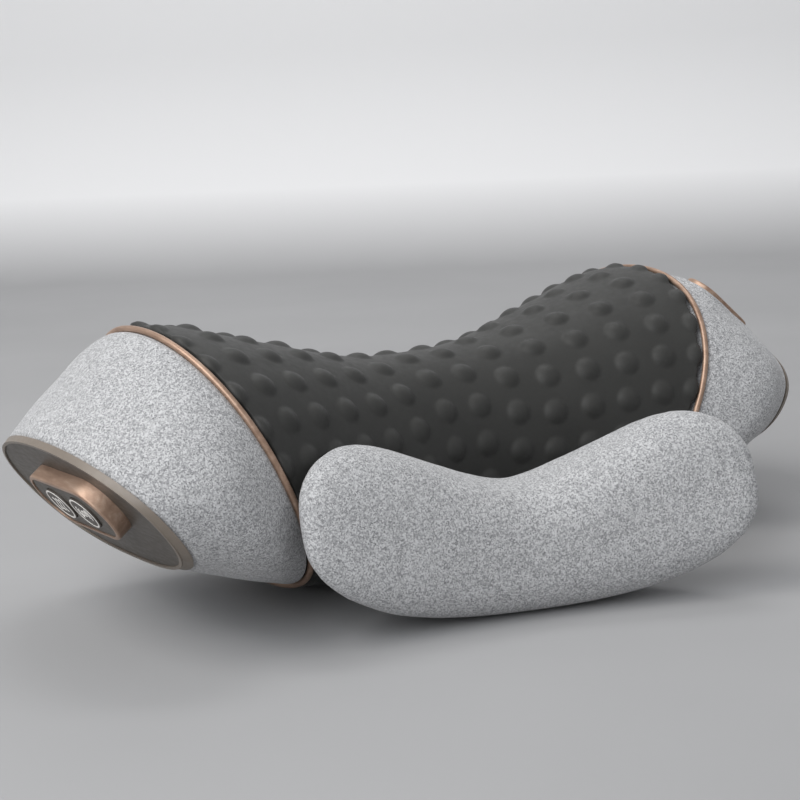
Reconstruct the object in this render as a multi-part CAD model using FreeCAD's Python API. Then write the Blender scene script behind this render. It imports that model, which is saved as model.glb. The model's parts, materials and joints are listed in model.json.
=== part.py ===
"""Heated, vibrating neck-stretch pillow: a saddle-shaped roll with two fabric ends, and a loose pad.

The roll lies along X, its front faces -Y and +Z is up. The origin is the middle of the roll's base,
on the surface it rests on. Lengths are millimetres and angles are degrees.
"""
import FreeCAD, Part
import math
import os

os.makedirs("parts", exist_ok=True)

Vector = FreeCAD.Vector

# ---------------------------------------------------------------- driving dimensions
# Cross-sections of the right half of the roll, from the waist to the end face. Each one is
# a rounded oval in a plane that leans outwards: the x and z of its centre, its y offset,
# half its depth, half its height along the leaning plane, and the lean.
ROLL_SECTIONS = [
    (0.0, 55.5, 0.0, 50.0, 59.5, 0.0),
    (40.0, 57.5, 0.0, 55.0, 61.5, 7.0),
    (88.0, 67.5, -0.5, 67.0, 70.0, 16.0),
    (134.0, 77.5, -1.0, 80.0, 76.0, 24.0),
    (169.0, 72.0, -5.0, 93.0, 59.0, 31.0),
    (203.0, 68.0, -9.0, 76.0, 40.0, 37.3),
]
ROLL_ODD_VALUES = (0, 5)
RING_SECTION = 3
END_SECTION = 5
SECTION_STEPS = 3         # stations from one section to the next
UPPER_ROUNDNESS = 2.1     # exponent of the oval above its centre: 2 is an ellipse
LOWER_ROUNDNESS = 2.4     # a little squarer below, so that the base is broad
OUTLINE_POINTS = 28

COVER_THICKNESS = 2.4     # silicone cover over the middle
FABRIC_THICKNESS = 3.0    # padded fabric of the ends
BASE_THICKNESS = 1.4      # non-slip sheet under the roll
BASE_HALF_LENGTH = 118.0
FILM_THICKNESS = 0.6
FILM_HALF_LENGTH = 92.0
FILM_LOW_EDGE = 78.0

RING_WIDTH = 3.4          # trim ring, along the roll
RING_PROUD = 1.2
RING_DEPTH = 3.6

PANEL_THICKNESS = 3.0
RIM_WIDTH = 1.6
RIM_PROUD = 0.8

# Control pod on the left end panel. Its own frame has z out of the panel, y up the panel
# and x towards the front.
POD_ALONG = 6.0
POD_UP = 6.0
POD_LENGTH = 74.0
POD_WIDTH = 34.0
POD_HEIGHT = 8.0
POD_DEPTH = 12.0
POD_WALL = 2.2
POD_FACE_THICKNESS = 1.8
POD_FACE_RECESS = 0.6
BUTTON_SPACING = 26.0
BUTTON_RADIUS = 10.0
BUTTON_GAP = 0.25
BUTTON_PROUD = 1.0
BUTTON_TRAVEL = 0.8
BUTTON_EDGE_RADIUS = 0.5
FLANGE_RADIUS = 11.2
FLANGE_THICKNESS = 1.4
FLANGE_GAP = 0.1
STEM_RADIUS = 2.0
STEM_GAP = 0.15           # left between stem and plunger when the button is pressed
POD_FLOOR = 1.5
POD_EDGE_RADIUS = 0.99
POD_BOARD_GAP = 1.0       # between a pod's board and its floor and walls
POD_BOSS_RADIUS = 2.6
POD_SCREW_RADIUS = 0.9
POD_SCREW_HEAD_RADIUS = 1.9
POD_SCREW_HEAD_HEIGHT = 1.2
POD_SCREW_INSET = 7.0
SWITCH_SIZE = 6.0
SWITCH_HEIGHT = 3.5
PLUNGER_RADIUS = 1.7
PLUNGER_HEIGHT = 0.7

# Charging pod on the upper slope of the right end. Its frame has z out of the slope,
# x down the slope and y towards the back.
PORT_POD_CENTRE = (197.0, -36.0, 121.5)
PORT_POD_SLOPE = 38.5
PORT_POD_TILT = 13.0      # towards the front
PORT_POD_LENGTH = 50.0
PORT_POD_WIDTH = 24.0
PORT_POD_HEIGHT = 4.5
PORT_POD_DEPTH = 14.0
PORT_WIDTH = 9.0
PORT_HEIGHT = 3.3
PORT_SHELL_LENGTH = 7.4
PORT_SHELL_WALL = 0.3
PORT_SHELL_FLOOR = 1.0
PORT_BOSS_INSET = 9.0
TONGUE_WIDTH = 6.7
TONGUE_THICKNESS = 0.7
TONGUE_RECESS = 0.7
LIGHT_ALONG = 14.0        # charge light, beside the socket
LIGHT_RADIUS = 1.25

# Electronics case in the middle of the foam
CASE_LENGTH = 104.0
CASE_DEPTH = 62.0
CASE_LOW = 20.0
CASE_SPLIT = 44.0
CASE_HIGH = 62.0
CASE_WALL = 2.0
CASE_CORNER_RADIUS = 6.0
CASE_BOSS_RADIUS = 3.4
CASE_BOSS_INSET = 7.0
CASE_SCREW_RADIUS = 1.2
CASE_SCREW_HEAD_RADIUS = 2.4
CASE_SCREW_HEAD_HEIGHT = 2.0
CASE_SCREW_END_GAP = 6.0
CELL_RADIUS = 9.2
CELL_LENGTH = 65.0
CELL_GAP = 1.0            # between the two cells
CELL_FLOOR = 1.5
TRAY_END = 3.0            # the tray reaches this far past the ends of the cells
TRAY_SIDE = 2.5
CONTACT_THICKNESS = 1.0
CONTACT_RADIUS = 5.52
BOARD_THICKNESS = 1.6
MAIN_BOARD_LENGTH = 70.0
MAIN_BOARD_WIDTH = 40.0
MAIN_BOARD_RISE = 4.0     # above the split of the case
STAND_REACH = (30.0, 16.0)
STAND_RADIUS = 2.8
BOARD_SCREW_RADIUS = 1.0
BOARD_SCREW_LENGTH = 5.0
BOARD_SCREW_HEAD_RADIUS = 2.0
BOARD_SCREW_HEAD_HEIGHT = 1.5
CHIPS = [                 # length, width, height, x, y
    (9.0, 9.0, 1.2, -8.0, 4.0),
    (5.0, 6.0, 1.5, 12.0, -8.0),
    (7.0, 7.0, 3.0, 18.0, 6.0),
]

# Vibration motors, one in each shoulder of the roll
MOTOR_X = 84.0
MOTOR_Z = 84.0
MOTOR_CAN_RADIUS = 10.0
MOTOR_CAN_LENGTH = 24.0
MOTOR_SHAFT_RADIUS = 1.0
MOTOR_POD_RADIUS = 15.0
MOTOR_POD_LENGTH = 52.0
MOTOR_POD_WALL = 2.0
MOTOR_BORE_DEPTH = 10.0
SHAFT_END_GAP = 0.5
SHAFT_END = 1.0           # the shaft reaches this far past the weight
WEIGHT_RADIUS = 8.0
WEIGHT_LENGTH = 9.0
WEIGHT_GAP = 2.0          # between weight and motor
WEIGHT_TOP = 2.5          # the weight is cut off flat this far above the shaft's axis
RUNNING_GAP = 0.05

LEAD_RADIUS = 1.2
LEAD_DROP = 4.0           # where the leads leave the case, below its split
LONG_LEAD_Y = 12.0
CONTROL_LEAD_TURN_X = 120.0
CONTROL_LEAD_RISE_X = 150.0
CONTROL_LEAD_RISE = 20.0
CONTROL_LEAD_END = 14.0   # straight run behind the control pod
CHARGE_LEAD_TURN_X = 130.0
CHARGE_LEAD_END = 30.0    # straight run behind the charging pod
SMALL_BEND = 8.0
MIDDLE_BEND = 9.0
LARGE_BEND = 14.0

# Loose height pad in front of the roll, turned a little towards its right end
PAD_CENTRE = (-15.5, -105.0)
PAD_YAW = -18.5
PAD_HALF_LENGTH = 114.0
PAD_DEPTH = 68.0
PAD_END_DEPTH = 42.0
PAD_HEIGHT = 61.0
PAD_END_HEIGHT = 127.0    # before the tips round off
PAD_SADDLE_POWER = 1.54   # how the top rises from the middle to the ends
PAD_TIP_DROP = 21.0       # how far the top falls again at the tips
PAD_TIP_START = 0.6       # where the top starts to fall, from 0, the middle, to 1, the tip
PAD_END_LIFT = 14.0       # rise of the underside towards the ends
PAD_END_BOW = -33.0       # shift of the ends away from the roll
PAD_LEAN = 3.0            # shift of the top towards the roll, in the middle
PAD_END_LEAN = 13.5       # more of it at the ends
PAD_ROUNDNESS = 2.85
PAD_DEPTH_ROUNDNESS = 2.4     # of the tips, seen from above
PAD_HEIGHT_ROUNDNESS = 2.7    # of the tips, seen from the front
PAD_STATION_COUNT = 10
PAD_LAST_STATION = 0.92   # the last station, as a part of the quarter turn to the tip
PAD_COVER_THICKNESS = 2.5

CLEAR = 500.0             # reach of the cutting blocks, past the whole object
SMALL = 0.01


# ---------------------------------------------------------------- small helpers
def save(shape, name):
    """Write one named piece."""
    shape.exportStep("parts/%s.step" % name)


def signed_power(value, exponent):
    """Raise the size of a value to a power and keep its sign."""
    return math.copysign(abs(value) ** exponent, value)


def closed_curve(points):
    """A smooth closed wire through the points."""
    curve = Part.BSplineCurve()
    curve.interpolate(points, PeriodicFlag=True)
    return Part.Wire([curve.toShape()])


def local_frame(origin, normal, up):
    """The placement whose z is the normal and whose y is the up direction."""
    side = up.cross(normal)
    matrix = FreeCAD.Matrix(
        side.x, up.x, normal.x, origin.x,
        side.y, up.y, normal.y, origin.y,
        side.z, up.z, normal.z, origin.z,
        0, 0, 0, 1)
    return FreeCAD.Placement(matrix)


def placed(shape, placement):
    """A copy of the shape set in a frame."""
    moved = shape.copy()
    moved.Placement = placement.multiply(moved.Placement)
    return moved


def box(size_x, size_y, low_z, high_z, x=0.0, y=0.0):
    """A block centred on x, y, between two heights."""
    corner = Vector(x - size_x / 2, y - size_y / 2, low_z)
    return Part.makeBox(size_x, size_y, high_z - low_z, corner)


def cylinder(radius, low_z, high_z, x=0.0, y=0.0):
    """An upright cylinder between two heights."""
    return Part.makeCylinder(radius, high_z - low_z, Vector(x, y, low_z))


def cylinder_along_y(radius, start_y, end_y, x, z):
    """A cylinder that lies along Y."""
    return Part.makeCylinder(radius, end_y - start_y, Vector(x, start_y, z), Vector(0, 1, 0))


def cylinder_along_x(radius, start_x, end_x, y, z):
    """A cylinder that lies along X."""
    return Part.makeCylinder(radius, end_x - start_x, Vector(start_x, y, z), Vector(1, 0, 0))


def pill(length, width, low_z, high_z, x=0.0, y=0.0):
    """A bar with fully rounded ends, long along x."""
    radius = width / 2
    reach = length / 2 - radius
    middle = box(2 * reach, width, low_z, high_z, x, y)
    first = cylinder(radius, low_z, high_z, x - reach, y)
    second = cylinder(radius, low_z, high_z, x + reach, y)
    return middle.fuse([first, second]).removeSplitter()


def bar(length, width, low_z, high_z, corner_radius, x=0.0, y=0.0):
    """A block with rounded upright corners."""
    block = box(length, width, low_z, high_z, x, y)
    upright = [edge for edge in block.Edges if abs(edge.tangentAt(edge.FirstParameter).z) > 0.9]
    return block.makeFillet(corner_radius, upright)


# ---------------------------------------------------------------- smooth forms through sections
def between(before, start, end, after, part):
    """A value on the smooth curve from start to end, at a part of the way."""
    slope = (end - before) / 2
    next_slope = (after - start) / 2
    square = part * part
    cube = square * part
    return ((2 * cube - 3 * square + 1) * start + (cube - 2 * square + part) * slope
            + (3 * square - 2 * cube) * end + (cube - square) * next_slope)


def smooth_stations(sections, odd_values, steps):
    """More stations through the sections, level at the middle, where the odd values change sign."""
    mirrored = [-value if index in odd_values else value for index, value in enumerate(sections[1])]
    beyond = [2 * last - value for last, value in zip(sections[-1], sections[-2])]
    guides = [mirrored] + list(sections) + [beyond]
    stations = []
    for index in range(1, len(guides) - 2):
        for step in range(steps):
            part = step / steps
            stations.append([between(*values, part) for values in zip(*guides[index - 1:index + 3])])
    stations.append(list(sections[-1]))
    return stations


def mirrored_form(wires):
    """A closed solid through the wires of the right half, and its mirror image, joined."""
    half = Part.makeLoft(wires, True, False, False, 3)
    return half.fuse(half.mirror(Vector(0, 0, 0), Vector(1, 0, 0)))


# ---------------------------------------------------------------- the roll's outer form
def roll_section(section, side, inset):
    """One oval of the roll, drawn in by the inset."""
    centre_x, centre_z, offset_y, half_depth, half_height, lean = section
    lean_sin = math.sin(math.radians(lean))
    lean_cos = math.cos(math.radians(lean))
    points = []
    for index in range(OUTLINE_POINTS):
        angle = 2 * math.pi * index / OUTLINE_POINTS
        power = 2 / (UPPER_ROUNDNESS if math.sin(angle) > 0 else LOWER_ROUNDNESS)
        across = (half_depth - inset) * signed_power(math.cos(angle), power)
        along = (half_height - inset) * signed_power(math.sin(angle), power)
        x = side * (centre_x + along * lean_sin)
        points.append(Vector(x, offset_y + across, centre_z + along * lean_cos))
    return closed_curve(points)


def roll_form(inset):
    """The whole roll as one smooth solid, drawn in by the inset."""
    stations = smooth_stations(ROLL_SECTIONS, ROLL_ODD_VALUES, SECTION_STEPS)
    return mirrored_form([roll_section(station, 1, inset) for station in stations])


def section_frame(section, side):
    """The frame of a section's plane: z outwards, y up the plane."""
    centre_x, centre_z, offset_y, _, _, lean = section
    angle = math.radians(lean)
    origin = Vector(side * centre_x, offset_y, centre_z)
    normal = Vector(side * math.cos(angle), 0, -math.sin(angle))
    up = Vector(side * math.sin(angle), 0, math.cos(angle))
    return local_frame(origin, normal, up)


def slab(section, side, low, high):
    """The space between two planes parallel to a section's plane."""
    return placed(box(CLEAR, CLEAR, low, high), section_frame(section, side))


def above_ground(low):
    """The space above a height."""
    return box(2 * CLEAR, 2 * CLEAR, low, CLEAR)


# ---------------------------------------------------------------- covers and trim
def massage_cover(outer, middle_space):
    """The silicone cover over the saddle, between the two trim rings."""
    inner = roll_form(COVER_THICKNESS)
    return outer.cut(inner).common(middle_space).common(above_ground(BASE_THICKNESS))


def trim_ring(side):
    """The copper-coloured band at the edge of the cover."""
    band = roll_form(-RING_PROUD).cut(roll_form(RING_DEPTH))
    ring_space = slab(ROLL_SECTIONS[RING_SECTION], side, 0, RING_WIDTH)
    return band.common(ring_space).common(above_ground(BASE_THICKNESS))


def fabric_end(outer, side):
    """The padded fabric skin of one end, from the trim ring to the end panel."""
    inner = roll_form(FABRIC_THICKNESS)
    ring_side = slab(ROLL_SECTIONS[RING_SECTION], side, RING_WIDTH, CLEAR)
    panel_side = slab(ROLL_SECTIONS[END_SECTION], side, -CLEAR, -PANEL_THICKNESS)
    return outer.cut(inner).common(ring_side).common(panel_side)


def end_panel(side):
    """The moulded panel that closes one end, inside its rim."""
    form = roll_form(RIM_WIDTH)
    return form.common(slab(ROLL_SECTIONS[END_SECTION], side, -PANEL_THICKNESS, 0))


def end_rim(side):
    """The thin raised rim round an end panel."""
    section = ROLL_SECTIONS[END_SECTION]
    outer_face = Part.Face(roll_section(section, side, 0))
    inner_face = Part.Face(roll_section(section, side, RIM_WIDTH))
    frame = section_frame(section, side)
    outwards = frame.Rotation.multVec(Vector(0, 0, 1))
    proud = outer_face.cut(inner_face).extrude(outwards * RIM_PROUD)
    buried_space = slab(section, side, -PANEL_THICKNESS, 0)
    buried = roll_form(0).cut(roll_form(RIM_WIDTH)).common(buried_space)
    return buried.fuse(proud)


def base_sheet(outer):
    """The non-slip sheet that the roll stands on."""
    space = box(2 * BASE_HALF_LENGTH, CLEAR, 0, BASE_THICKNESS)
    return outer.common(space)


def heating_film():
    """The thin heater under the top of the cover."""
    film = roll_form(COVER_THICKNESS).cut(roll_form(COVER_THICKNESS + FILM_THICKNESS))
    return film.common(box(2 * FILM_HALF_LENGTH, CLEAR, FILM_LOW_EDGE, CLEAR))


# ---------------------------------------------------------------- control pod
def pod_frame():
    """The control pod's frame on the left end panel."""
    frame = section_frame(ROLL_SECTIONS[END_SECTION], -1)
    shift = FreeCAD.Placement(Vector(POD_ALONG, POD_UP, 0), FreeCAD.Rotation())
    return frame.multiply(shift)


def button_positions():
    """Centres of the two buttons along the pod."""
    return {"heat_button": -BUTTON_SPACING / 2, "massage_button": BUTTON_SPACING / 2}


def pod_shell(length, width, depth, height):
    """A pod's housing, open on top, and the length and width inside it."""
    inner_length = length - 2 * POD_WALL
    inner_width = width - 2 * POD_WALL
    outer = pill(length, width, -depth, height)
    rim = [edge for edge in outer.Edges if edge.BoundBox.ZMin > height - SMALL]
    outer = outer.makeFillet(POD_EDGE_RADIUS, rim)
    shell = outer.cut(pill(inner_length, inner_width, -depth + POD_FLOOR, height))
    return shell, inner_length, inner_width


def button(along, face_low, face_top, plunger_top):
    """A button: its cap, the flange that keeps it in, and the stem over the switch."""
    flange_top = face_low - FLANGE_GAP
    flange_low = flange_top - FLANGE_THICKNESS
    cap = cylinder(BUTTON_RADIUS - BUTTON_GAP, flange_top, face_top + BUTTON_PROUD, along)
    cap_edges = [edge for edge in cap.Edges if edge.BoundBox.ZMin > face_top]
    cap = cap.makeFillet(BUTTON_EDGE_RADIUS, cap_edges)
    flange = cylinder(FLANGE_RADIUS, flange_low, flange_top, along)
    stem_low = plunger_top + BUTTON_TRAVEL + STEM_GAP
    stem = cylinder(STEM_RADIUS, stem_low, flange_low, along)
    return cap.fuse([flange, stem]).removeSplitter()


def control_pod_pieces():
    """Every piece of the control pod, in the pod's own frame."""
    pieces = {}
    floor_top = -POD_DEPTH + POD_FLOOR
    face_top = POD_HEIGHT - POD_FACE_RECESS
    face_low = face_top - POD_FACE_THICKNESS
    housing, inner_length, inner_width = pod_shell(POD_LENGTH, POD_WIDTH, POD_DEPTH, POD_HEIGHT)

    face = pill(inner_length, inner_width, face_low, face_top)
    board_low = floor_top + POD_BOARD_GAP
    board_top = board_low + BOARD_THICKNESS
    board = pill(inner_length - 2 * POD_BOARD_GAP, inner_width - 2 * POD_BOARD_GAP, board_low, board_top)
    switch_top = board_top + SWITCH_HEIGHT
    plunger_top = switch_top + PLUNGER_HEIGHT
    switches = []
    for name, along in button_positions().items():
        face = face.cut(cylinder(BUTTON_RADIUS, face_low, face_top, along))
        pieces[name] = button(along, face_low, face_top, plunger_top)
        switch = box(SWITCH_SIZE, SWITCH_SIZE, board_top, switch_top, along)
        switches.append(switch.fuse(cylinder(PLUNGER_RADIUS, switch_top, plunger_top, along)))

    screws = []
    bosses = []
    screw_reach = inner_length / 2 - POD_SCREW_INSET
    for along in (-screw_reach, 0.0, screw_reach):
        bosses.append(cylinder(POD_BOSS_RADIUS, floor_top, board_low, along))
        thread = cylinder(POD_SCREW_RADIUS, floor_top, board_top, along)
        head = cylinder(POD_SCREW_HEAD_RADIUS, board_top, board_top + POD_SCREW_HEAD_HEIGHT, along)
        screws.append(thread.fuse(head))
        board = board.cut(cylinder(POD_SCREW_RADIUS, board_low, board_top, along))
    housing = housing.fuse(bosses)
    for screw in screws:
        housing = housing.cut(screw)
    pieces["control_pod_housing"] = housing
    pieces["control_pod_face"] = face
    pieces["control_board"] = board
    pieces["tact_switches"] = Part.makeCompound(switches)
    pieces["control_screws"] = Part.makeCompound(screws)
    return pieces


# ---------------------------------------------------------------- charging pod
def port_frame():
    """The charging pod's frame on the upper slope of the right end."""
    slope = math.radians(PORT_POD_SLOPE)
    tilt = math.radians(PORT_POD_TILT)
    down = Vector(math.cos(slope), 0, -math.sin(slope))
    normal = Vector(math.sin(slope) * math.cos(tilt), -math.sin(tilt), math.cos(slope) * math.cos(tilt))
    return local_frame(Vector(*PORT_POD_CENTRE), normal, normal.cross(down))


def port_pod_pieces():
    """Every piece of the charging pod, in the pod's own frame."""
    floor_top = -PORT_POD_DEPTH + POD_FLOOR
    face_top = PORT_POD_HEIGHT - POD_FACE_RECESS
    face_low = face_top - POD_FACE_THICKNESS
    housing, inner_length, inner_width = pod_shell(
        PORT_POD_LENGTH, PORT_POD_WIDTH, PORT_POD_DEPTH, PORT_POD_HEIGHT)

    shell_low = face_top - PORT_SHELL_LENGTH
    bore_low = shell_low + PORT_SHELL_FLOOR
    face = pill(inner_length, inner_width, face_low, face_top)
    face = face.cut(pill(PORT_WIDTH, PORT_HEIGHT, face_low, face_top))
    face = face.cut(cylinder(LIGHT_RADIUS, face_low, face_top, LIGHT_ALONG))
    shell = pill(PORT_WIDTH, PORT_HEIGHT, shell_low, face_top)
    bore_width = PORT_WIDTH - 2 * PORT_SHELL_WALL
    bore_height = PORT_HEIGHT - 2 * PORT_SHELL_WALL
    bore = pill(bore_width, bore_height, bore_low, face_top)
    board_low = shell_low - BOARD_THICKNESS
    board_length = inner_length - 2 * POD_BOARD_GAP
    board_width = inner_width - 2 * POD_BOARD_GAP
    boss_reach = inner_length / 2 - PORT_BOSS_INSET
    bosses = [cylinder(POD_BOSS_RADIUS, floor_top, board_low, x) for x in (-boss_reach, boss_reach)]
    return {
        "charge_pod_housing": housing.fuse(bosses),
        "charge_pod_face": face,
        "charge_port_shell": shell.cut(bore),
        "charge_port_tongue": box(TONGUE_WIDTH, TONGUE_THICKNESS, bore_low, face_top - TONGUE_RECESS),
        "charge_port_board": pill(board_length, board_width, board_low, shell_low),
        "charge_light": cylinder(LIGHT_RADIUS, shell_low, face_top, LIGHT_ALONG),
    }


# ---------------------------------------------------------------- electronics case
def case_shell(low, high, open_low):
    """One half of the electronics case, open on one side."""
    shell = bar(CASE_LENGTH, CASE_DEPTH, low, high, CASE_CORNER_RADIUS)
    inner_low = low if open_low else low + CASE_WALL
    inner_high = high - CASE_WALL if open_low else high
    inner_length = CASE_LENGTH - 2 * CASE_WALL
    inner_depth = CASE_DEPTH - 2 * CASE_WALL
    hollow = bar(inner_length, inner_depth, inner_low, inner_high, CASE_CORNER_RADIUS - CASE_WALL)
    return shell.cut(hollow)


def corner_places(reach_x, reach_y):
    """The four corners of a rectangle."""
    return [(x, y) for x in (-reach_x, reach_x) for y in (-reach_y, reach_y)]


def battery_pieces():
    """Two cells side by side in their tray, with a contact at each end."""
    tray_low = CASE_LOW + CASE_WALL
    cell_z = tray_low + CELL_FLOOR + CELL_RADIUS
    half = CELL_LENGTH / 2
    tray_length = CELL_LENGTH + 2 * TRAY_END
    tray_width = 4 * CELL_RADIUS + 2 * TRAY_SIDE
    tray = box(tray_length, tray_width, tray_low, cell_z)
    cells = []
    contacts = []
    cell_y = CELL_RADIUS + CELL_GAP / 2
    for y in (-cell_y, cell_y):
        cells.append(cylinder_along_x(CELL_RADIUS, -half, half, y, cell_z))
        trough_end = half + CONTACT_THICKNESS
        tray = tray.cut(cylinder_along_x(CELL_RADIUS, -trough_end, trough_end, y, cell_z))
        for start in (-trough_end, half):
            end = start + CONTACT_THICKNESS
            contacts.append(cylinder_along_x(CONTACT_RADIUS, start, end, y, cell_z))
    return {
        "battery_tray": tray,
        "battery_cells": Part.makeCompound(cells),
        "battery_contacts": Part.makeCompound(contacts),
    }


def electronics_case_pieces():
    """The case, its battery and its main board."""
    pieces = battery_pieces()
    lower = case_shell(CASE_LOW, CASE_SPLIT, False)
    upper = case_shell(CASE_SPLIT, CASE_HIGH, True)
    screws = []
    head_top = CASE_LOW + CASE_SCREW_HEAD_HEIGHT
    for x, y in corner_places(CASE_LENGTH / 2 - CASE_BOSS_INSET, CASE_DEPTH / 2 - CASE_BOSS_INSET):
        lower = lower.fuse(cylinder(CASE_BOSS_RADIUS, CASE_LOW, CASE_SPLIT, x, y))
        upper = upper.fuse(cylinder(CASE_BOSS_RADIUS, CASE_SPLIT, CASE_HIGH, x, y))
        thread = cylinder(CASE_SCREW_RADIUS, head_top, CASE_HIGH - CASE_SCREW_END_GAP, x, y)
        head = cylinder(CASE_SCREW_HEAD_RADIUS, CASE_LOW, head_top, x, y)
        screws.append(thread.fuse(head))
    for screw in screws:
        lower = lower.cut(screw)
        upper = upper.cut(screw)

    board_low = CASE_SPLIT + MAIN_BOARD_RISE
    board_top = board_low + BOARD_THICKNESS
    board = box(MAIN_BOARD_LENGTH, MAIN_BOARD_WIDTH, board_low, board_top)
    board_screws = []
    for x, y in corner_places(*STAND_REACH):
        upper = upper.fuse(cylinder(STAND_RADIUS, board_top, CASE_HIGH - CASE_WALL, x, y))
        thread = cylinder(BOARD_SCREW_RADIUS, board_low, board_top + BOARD_SCREW_LENGTH, x, y)
        head_low = board_low - BOARD_SCREW_HEAD_HEIGHT
        screw = thread.fuse(cylinder(BOARD_SCREW_HEAD_RADIUS, head_low, board_low, x, y))
        board = board.cut(screw)
        upper = upper.cut(screw)
        board_screws.append(screw)
    chips = [box(length, width, board_low - height, board_low, x, y)
             for length, width, height, x, y in CHIPS]
    pieces["electronics_case_lower"] = lower
    pieces["electronics_case_upper"] = upper
    pieces["case_screws"] = Part.makeCompound(screws)
    pieces["main_board"] = board
    pieces["main_board_parts"] = Part.makeCompound(chips)
    pieces["main_board_screws"] = Part.makeCompound(board_screws)
    return pieces


# ---------------------------------------------------------------- vibration motors
def motor_pieces(side, name):
    """A vibration motor in its sealed pod, with the off-centre weight on its shaft."""
    x = side * MOTOR_X

    def round_bar(radius, start, end):
        return cylinder_along_y(radius, start, end, x, MOTOR_Z)

    half = MOTOR_POD_LENGTH / 2
    inner_half = half - MOTOR_POD_WALL
    inner_radius = MOTOR_POD_RADIUS - MOTOR_POD_WALL
    pod = round_bar(MOTOR_POD_RADIUS, -half, half)
    pod = pod.cut(round_bar(inner_radius, -inner_half, inner_half))
    can_start = inner_half - MOTOR_CAN_LENGTH
    can = round_bar(MOTOR_CAN_RADIUS, can_start, inner_half)
    cradle = round_bar(inner_radius, can_start, inner_half).cut(can)
    bore_end = can_start + MOTOR_BORE_DEPTH
    can = can.cut(round_bar(MOTOR_SHAFT_RADIUS + RUNNING_GAP, can_start, bore_end))
    weight_end = can_start - WEIGHT_GAP
    weight_start = weight_end - WEIGHT_LENGTH
    shaft = round_bar(MOTOR_SHAFT_RADIUS, weight_start - SHAFT_END, bore_end - SHAFT_END_GAP)
    weight = round_bar(WEIGHT_RADIUS, weight_start, weight_end)
    weight = weight.cut(box(CLEAR, CLEAR, MOTOR_Z + WEIGHT_TOP, CLEAR))
    weight = weight.cut(round_bar(MOTOR_SHAFT_RADIUS, weight_start, weight_end))
    return {
        name + "_motor_pod": pod,
        name + "_motor_cradle": cradle,
        name + "_vibration_motor": can,
        name + "_motor_shaft": shaft,
        name + "_motor_weight": weight,
    }


# ---------------------------------------------------------------- inner leads
def lead(points, bend_radius):
    """A round lead along straight runs joined by tangent arcs."""
    edges = []
    start = points[0]
    for index in range(1, len(points) - 1):
        corner = points[index]
        towards = (points[index - 1] - corner).normalize()
        onwards = (points[index + 1] - corner).normalize()
        half_turn = towards.getAngle(onwards) / 2
        setback = bend_radius / math.tan(half_turn)
        first = corner + towards * setback
        last = corner + onwards * setback
        inwards = (towards + onwards).normalize()
        centre = corner + inwards * (bend_radius / math.sin(half_turn))
        middle = centre - inwards * bend_radius
        edges.append(Part.LineSegment(start, first).toShape())
        edges.append(Part.Arc(first, middle, last).toShape())
        start = last
    edges.append(Part.LineSegment(start, points[-1]).toShape())
    path = Part.Wire(edges)
    profile = Part.Wire([Part.Circle(points[0], points[1] - points[0], LEAD_RADIUS).toShape()])
    return path.makePipeShell([profile], True, False, 2)


def inner_leads():
    """The leads that run through channels in the foam, from the case to each module."""
    case_end = CASE_LENGTH / 2
    lead_z = CASE_SPLIT - LEAD_DROP
    control_end = pod_frame().multVec(Vector(0, 0, -POD_DEPTH))
    control_back = pod_frame().multVec(Vector(0, 0, -POD_DEPTH - CONTROL_LEAD_END))
    port_end = port_frame().multVec(Vector(0, 0, -PORT_POD_DEPTH))
    port_back = port_frame().multVec(Vector(0, 0, -PORT_POD_DEPTH - CHARGE_LEAD_END))
    leads = {
        "control_lead": lead([
            Vector(-case_end, LONG_LEAD_Y, lead_z),
            Vector(-CONTROL_LEAD_TURN_X, LONG_LEAD_Y, lead_z),
            Vector(-CONTROL_LEAD_RISE_X, control_end.y, control_end.z + CONTROL_LEAD_RISE),
            control_back,
            control_end], MIDDLE_BEND),
        "charge_lead": lead([
            Vector(case_end, LONG_LEAD_Y, lead_z),
            Vector(CHARGE_LEAD_TURN_X, LONG_LEAD_Y, lead_z),
            port_back,
            port_end], LARGE_BEND),
    }
    for side, name in ((-1, "left"), (1, "right")):
        leads[name + "_motor_lead"] = lead([
            Vector(side * case_end, 0, lead_z),
            Vector(side * MOTOR_X, 0, lead_z),
            Vector(side * MOTOR_X, 0, MOTOR_Z - MOTOR_POD_RADIUS)], SMALL_BEND)
    return leads


# ---------------------------------------------------------------- foam core
def foam_core(hollows):
    """The firm foam inside the covers, with a pocket for each module."""
    section = ROLL_SECTIONS[END_SECTION]
    ring = ROLL_SECTIONS[RING_SECTION]
    middle = roll_form(COVER_THICKNESS + FILM_THICKNESS)
    for side in (-1, 1):
        middle = middle.cut(slab(ring, side, 0, CLEAR))
    foam = middle
    for side in (-1, 1):
        end = roll_form(RING_DEPTH).common(slab(ring, side, 0, CLEAR))
        end = end.cut(slab(section, side, -PANEL_THICKNESS, CLEAR))
        foam = foam.fuse(end)
    foam = foam.common(above_ground(BASE_THICKNESS))
    for hollow in hollows:
        foam = foam.cut(hollow)
    return foam


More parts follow.
